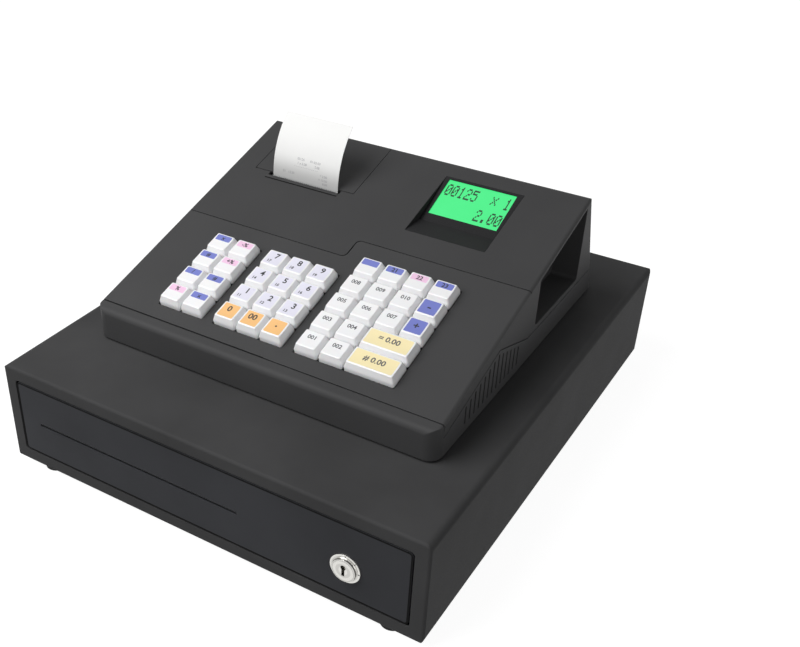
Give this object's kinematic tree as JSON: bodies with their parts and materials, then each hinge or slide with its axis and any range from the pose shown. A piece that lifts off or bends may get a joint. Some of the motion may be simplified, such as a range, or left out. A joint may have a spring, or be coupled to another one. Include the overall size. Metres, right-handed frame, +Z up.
{
  "type": "ticket register",
  "caption": "Small electronic till with keyboard, lit display and receipt printer in a wedge-shaped housing, standing on a lockable steel cash drawer.",
  "frame": {"origin": "middle of the whole object in plan, on the surface that the four feet stand on", "axes": "+Z up; the operator stands on the -Y side, so the drawer opens towards -Y; +X is to the right of the operator"},
  "size_m": [0.35, 0.4084, 0.212],
  "materials": {
    "case_steel": "fine textured black powder coat",
    "front_steel": "smooth matt black powder coat",
    "zinc_steel": "zinc plated",
    "printer_steel": "nickel plated",
    "black_rubber": "matt",
    "insert_plastic": "fine grained",
    "clip_plastic": "smooth",
    "lock_chrome": "polished",
    "housing_plastic": "fine spark-eroded grain",
    "panel_plastic": "fine spark-eroded grain",
    "key_white": "glossy",
    "key_orange": "glossy",
    "key_yellow": "glossy",
    "key_blue": "glossy",
    "paper": "smooth thermal paper",
    "lcd_green": "clear glossy pane, lit from behind",
    "board_green": "solder resist"
  },
  "bodies": {
    "till": {"till_case": "case_steel", "rubber_feet": "black_rubber", "drawer_latch": "zinc_steel", "lower_case": "housing_plastic", "upper_case": "housing_plastic", "key_panel": "panel_plastic", "printer_frame": "printer_steel", "lcd_display": "lcd_green", "circuit_boards": "board_green"},
    "drawer": {"drawer_tray": "zinc_steel", "drawer_front": "front_steel", "cash_insert": "insert_plastic", "lock_body": "lock_chrome"},
    "lock": {"lock_plug": "lock_chrome"},
    "cover": {"printer_cover": "housing_plastic", "paper_strip": "paper"},
    "platen": {"platen_roller": "black_rubber"},
    "roll": {"paper_roll": "paper"},
    "bill_clip_1": {"bill_clip_1": "clip_plastic"},
    "bill_clip_2": {"bill_clip_2": "clip_plastic"},
    "bill_clip_3": {"bill_clip_3": "clip_plastic"},
    "bill_clip_4": {"bill_clip_4": "clip_plastic"},
    "function_key_1": {"function_key_1": "key_white"},
    "function_key_2": {"function_key_2": "key_white"},
    "function_key_3": {"function_key_3": "key_white"},
    "function_key_4": {"function_key_4": "key_white"},
    "function_key_5": {"function_key_5": "key_white"},
    "function_key_6": {"function_key_6": "key_white"},
    "function_key_7": {"function_key_7": "key_white"},
    "function_key_8": {"function_key_8": "key_white"},
    "digit_key_0": {"digit_key_0": "key_orange"},
    "double_zero_key": {"double_zero_key": "key_orange"},
    "point_key": {"point_key": "key_orange"},
    "digit_key_1": {"digit_key_1": "key_white"},
    "digit_key_2": {"digit_key_2": "key_white"},
    "digit_key_3": {"digit_key_3": "key_white"},
    "digit_key_4": {"digit_key_4": "key_white"},
    "digit_key_5": {"digit_key_5": "key_white"},
    "digit_key_6": {"digit_key_6": "key_white"},
    "digit_key_7": {"digit_key_7": "key_white"},
    "digit_key_8": {"digit_key_8": "key_white"},
    "digit_key_9": {"digit_key_9": "key_white"},
    "dept_key_1": {"dept_key_1": "key_white"},
    "dept_key_2": {"dept_key_2": "key_white"},
    "dept_key_3": {"dept_key_3": "key_white"},
    "dept_key_4": {"dept_key_4": "key_white"},
    "dept_key_5": {"dept_key_5": "key_white"},
    "dept_key_6": {"dept_key_6": "key_white"},
    "dept_key_7": {"dept_key_7": "key_white"},
    "dept_key_8": {"dept_key_8": "key_white"},
    "dept_key_9": {"dept_key_9": "key_white"},
    "dept_key_10": {"dept_key_10": "key_white"},
    "total_key": {"total_key": "key_yellow"},
    "subtotal_key": {"subtotal_key": "key_yellow"},
    "charge_key": {"charge_key": "key_blue"},
    "check_key": {"check_key": "key_blue"},
    "function_key_9": {"function_key_9": "key_white"},
    "function_key_10": {"function_key_10": "key_white"},
    "function_key_11": {"function_key_11": "key_white"},
    "function_key_12": {"function_key_12": "key_white"}
  },
  "joints": [
    {"name": "drawer_slide", "type": "slide", "parent": "till", "child": "drawer", "axis": [0, -1, 0], "range_m": [0, 0.27]},
    {"name": "lock_turn", "type": "hinge", "parent": "drawer", "child": "lock", "pos_m": [0.1176, -0.20075, 0.0429], "axis": [0, 1, 0], "range_deg": [0, 90]},
    {"name": "cover_hinge", "type": "hinge", "parent": "till", "child": "cover", "pos_m": [-0.073, 0.1071, 0.17806], "axis": [-1, 0, 0], "range_deg": [0, 95]},
    {"name": "bill_clip_1_lift", "type": "hinge", "parent": "drawer", "child": "bill_clip_1", "pos_m": [-0.11407, 0.13335, 0.0426], "axis": [-1, 0, 0], "range_deg": [0, 100], "stiffness_Nm_per_rad": 0.02, "springref_deg": -28.65},
    {"name": "bill_clip_2_lift", "type": "hinge", "parent": "drawer", "child": "bill_clip_2", "pos_m": [-0.03803, 0.13335, 0.0426], "axis": [-1, 0, 0], "range_deg": [0, 100], "stiffness_Nm_per_rad": 0.02, "springref_deg": -28.65},
    {"name": "bill_clip_3_lift", "type": "hinge", "parent": "drawer", "child": "bill_clip_3", "pos_m": [0.03803, 0.13335, 0.0426], "axis": [-1, 0, 0], "range_deg": [0, 100], "stiffness_Nm_per_rad": 0.02, "springref_deg": -28.65},
    {"name": "bill_clip_4_lift", "type": "hinge", "parent": "drawer", "child": "bill_clip_4", "pos_m": [0.11407, 0.13335, 0.0426], "axis": [-1, 0, 0], "range_deg": [0, 100], "stiffness_Nm_per_rad": 0.02, "springref_deg": -28.65},
    {"name": "platen_spin", "type": "hinge", "parent": "cover", "child": "platen", "pos_m": [-0.073, 0.05115, 0.15866], "axis": [1, 0, 0], "continuous": true},
    {"name": "roll_spin", "type": "hinge", "parent": "till", "child": "roll", "pos_m": [-0.073, 0.08785, 0.13469], "axis": [1, 0, 0], "continuous": true},
    {"name": "function_key_1_press", "type": "slide", "parent": "till", "child": "function_key_1", "axis": [0, 0.2672, -0.9636], "range_m": [0, 0.0025], "stiffness_N_per_m": 240, "springref_m": -0.001},
    {"name": "function_key_2_press", "type": "slide", "parent": "till", "child": "function_key_2", "axis": [0, 0.2672, -0.9636], "range_m": [0, 0.0025], "stiffness_N_per_m": 240, "springref_m": -0.001},
    {"name": "function_key_3_press", "type": "slide", "parent": "till", "child": "function_key_3", "axis": [0, 0.2672, -0.9636], "range_m": [0, 0.0025], "stiffness_N_per_m": 240, "springref_m": -0.001},
    {"name": "function_key_4_press", "type": "slide", "parent": "till", "child": "function_key_4", "axis": [0, 0.2672, -0.9636], "range_m": [0, 0.0025], "stiffness_N_per_m": 240, "springref_m": -0.001},
    {"name": "function_key_5_press", "type": "slide", "parent": "till", "child": "function_key_5", "axis": [0, 0.2672, -0.9636], "range_m": [0, 0.0025], "stiffness_N_per_m": 240, "springref_m": -0.001},
    {"name": "function_key_6_press", "type": "slide", "parent": "till", "child": "function_key_6", "axis": [0, 0.2672, -0.9636], "range_m": [0, 0.0025], "stiffness_N_per_m": 240, "springref_m": -0.001},
    {"name": "function_key_7_press", "type": "slide", "parent": "till", "child": "function_key_7", "axis": [0, 0.2672, -0.9636], "range_m": [0, 0.0025], "stiffness_N_per_m": 240, "springref_m": -0.001},
    {"name": "function_key_8_press", "type": "slide", "parent": "till", "child": "function_key_8", "axis": [0, 0.2672, -0.9636], "range_m": [0, 0.0025], "stiffness_N_per_m": 240, "springref_m": -0.001},
    {"name": "digit_key_0_press", "type": "slide", "parent": "till", "child": "digit_key_0", "axis": [0, 0.2672, -0.9636], "range_m": [0, 0.0025], "stiffness_N_per_m": 240, "springref_m": -0.001},
    {"name": "double_zero_key_press", "type": "slide", "parent": "till", "child": "double_zero_key", "axis": [0, 0.2672, -0.9636], "range_m": [0, 0.0025], "stiffness_N_per_m": 240, "springref_m": -0.001},
    {"name": "point_key_press", "type": "slide", "parent": "till", "child": "point_key", "axis": [0, 0.2672, -0.9636], "range_m": [0, 0.0025], "stiffness_N_per_m": 240, "springref_m": -0.001},
    {"name": "digit_key_1_press", "type": "slide", "parent": "till", "child": "digit_key_1", "axis": [0, 0.2672, -0.9636], "range_m": [0, 0.0025], "stiffness_N_per_m": 240, "springref_m": -0.001},
    {"name": "digit_key_2_press", "type": "slide", "parent": "till", "child": "digit_key_2", "axis": [0, 0.2672, -0.9636], "range_m": [0, 0.0025], "stiffness_N_per_m": 240, "springref_m": -0.001},
    {"name": "digit_key_3_press", "type": "slide", "parent": "till", "child": "digit_key_3", "axis": [0, 0.2672, -0.9636], "range_m": [0, 0.0025], "stiffness_N_per_m": 240, "springref_m": -0.001},
    {"name": "digit_key_4_press", "type": "slide", "parent": "till", "child": "digit_key_4", "axis": [0, 0.2672, -0.9636], "range_m": [0, 0.0025], "stiffness_N_per_m": 240, "springref_m": -0.001},
    {"name": "digit_key_5_press", "type": "slide", "parent": "till", "child": "digit_key_5", "axis": [0, 0.2672, -0.9636], "range_m": [0, 0.0025], "stiffness_N_per_m": 240, "springref_m": -0.001},
    {"name": "digit_key_6_press", "type": "slide", "parent": "till", "child": "digit_key_6", "axis": [0, 0.2672, -0.9636], "range_m": [0, 0.0025], "stiffness_N_per_m": 240, "springref_m": -0.001},
    {"name": "digit_key_7_press", "type": "slide", "parent": "till", "child": "digit_key_7", "axis": [0, 0.2672, -0.9636], "range_m": [0, 0.0025], "stiffness_N_per_m": 240, "springref_m": -0.001},
    {"name": "digit_key_8_press", "type": "slide", "parent": "till", "child": "digit_key_8", "axis": [0, 0.2672, -0.9636], "range_m": [0, 0.0025], "stiffness_N_per_m": 240, "springref_m": -0.001},
    {"name": "digit_key_9_press", "type": "slide", "parent": "till", "child": "digit_key_9", "axis": [0, 0.2672, -0.9636], "range_m": [0, 0.0025], "stiffness_N_per_m": 240, "springref_m": -0.001},
    {"name": "dept_key_1_press", "type": "slide", "parent": "till", "child": "dept_key_1", "axis": [0, 0.2672, -0.9636], "range_m": [0, 0.0025], "stiffness_N_per_m": 240, "springref_m": -0.001},
    {"name": "dept_key_2_press", "type": "slide", "parent": "till", "child": "dept_key_2", "axis": [0, 0.2672, -0.9636], "range_m": [0, 0.0025], "stiffness_N_per_m": 240, "springref_m": -0.001},
    {"name": "dept_key_3_press", "type": "slide", "parent": "till", "child": "dept_key_3", "axis": [0, 0.2672, -0.9636], "range_m": [0, 0.0025], "stiffness_N_per_m": 240, "springref_m": -0.001},
    {"name": "dept_key_4_press", "type": "slide", "parent": "till", "child": "dept_key_4", "axis": [0, 0.2672, -0.9636], "range_m": [0, 0.0025], "stiffness_N_per_m": 240, "springref_m": -0.001},
    {"name": "dept_key_5_press", "type": "slide", "parent": "till", "child": "dept_key_5", "axis": [0, 0.2672, -0.9636], "range_m": [0, 0.0025], "stiffness_N_per_m": 240, "springref_m": -0.001},
    {"name": "dept_key_6_press", "type": "slide", "parent": "till", "child": "dept_key_6", "axis": [0, 0.2672, -0.9636], "range_m": [0, 0.0025], "stiffness_N_per_m": 240, "springref_m": -0.001},
    {"name": "dept_key_7_press", "type": "slide", "parent": "till", "child": "dept_key_7", "axis": [0, 0.2672, -0.9636], "range_m": [0, 0.0025], "stiffness_N_per_m": 240, "springref_m": -0.001},
    {"name": "dept_key_8_press", "type": "slide", "parent": "till", "child": "dept_key_8", "axis": [0, 0.2672, -0.9636], "range_m": [0, 0.0025], "stiffness_N_per_m": 240, "springref_m": -0.001},
    {"name": "dept_key_9_press", "type": "slide", "parent": "till", "child": "dept_key_9", "axis": [0, 0.2672, -0.9636], "range_m": [0, 0.0025], "stiffness_N_per_m": 240, "springref_m": -0.001},
    {"name": "dept_key_10_press", "type": "slide", "parent": "till", "child": "dept_key_10", "axis": [0, 0.2672, -0.9636], "range_m": [0, 0.0025], "stiffness_N_per_m": 240, "springref_m": -0.001},
    {"name": "total_key_press", "type": "slide", "parent": "till", "child": "total_key", "axis": [0, 0.2672, -0.9636], "range_m": [0, 0.0025], "stiffness_N_per_m": 240, "springref_m": -0.001},
    {"name": "subtotal_key_press", "type": "slide", "parent": "till", "child": "subtotal_key", "axis": [0, 0.2672, -0.9636], "range_m": [0, 0.0025], "stiffness_N_per_m": 240, "springref_m": -0.001},
    {"name": "charge_key_press", "type": "slide", "parent": "till", "child": "charge_key", "axis": [0, 0.2672, -0.9636], "range_m": [0, 0.0025], "stiffness_N_per_m": 240, "springref_m": -0.001},
    {"name": "check_key_press", "type": "slide", "parent": "till", "child": "check_key", "axis": [0, 0.2672, -0.9636], "range_m": [0, 0.0025], "stiffness_N_per_m": 240, "springref_m": -0.001},
    {"name": "function_key_9_press", "type": "slide", "parent": "till", "child": "function_key_9", "axis": [0, 0.2672, -0.9636], "range_m": [0, 0.0025], "stiffness_N_per_m": 240, "springref_m": -0.001},
    {"name": "function_key_10_press", "type": "slide", "parent": "till", "child": "function_key_10", "axis": [0, 0.2672, -0.9636], "range_m": [0, 0.0025], "stiffness_N_per_m": 240, "springref_m": -0.001},
    {"name": "function_key_11_press", "type": "slide", "parent": "till", "child": "function_key_11", "axis": [0, 0.2672, -0.9636], "range_m": [0, 0.0025], "stiffness_N_per_m": 240, "springref_m": -0.001},
    {"name": "function_key_12_press", "type": "slide", "parent": "till", "child": "function_key_12", "axis": [0, 0.2672, -0.9636], "range_m": [0, 0.0025], "stiffness_N_per_m": 240, "springref_m": -0.001}
  ]
}
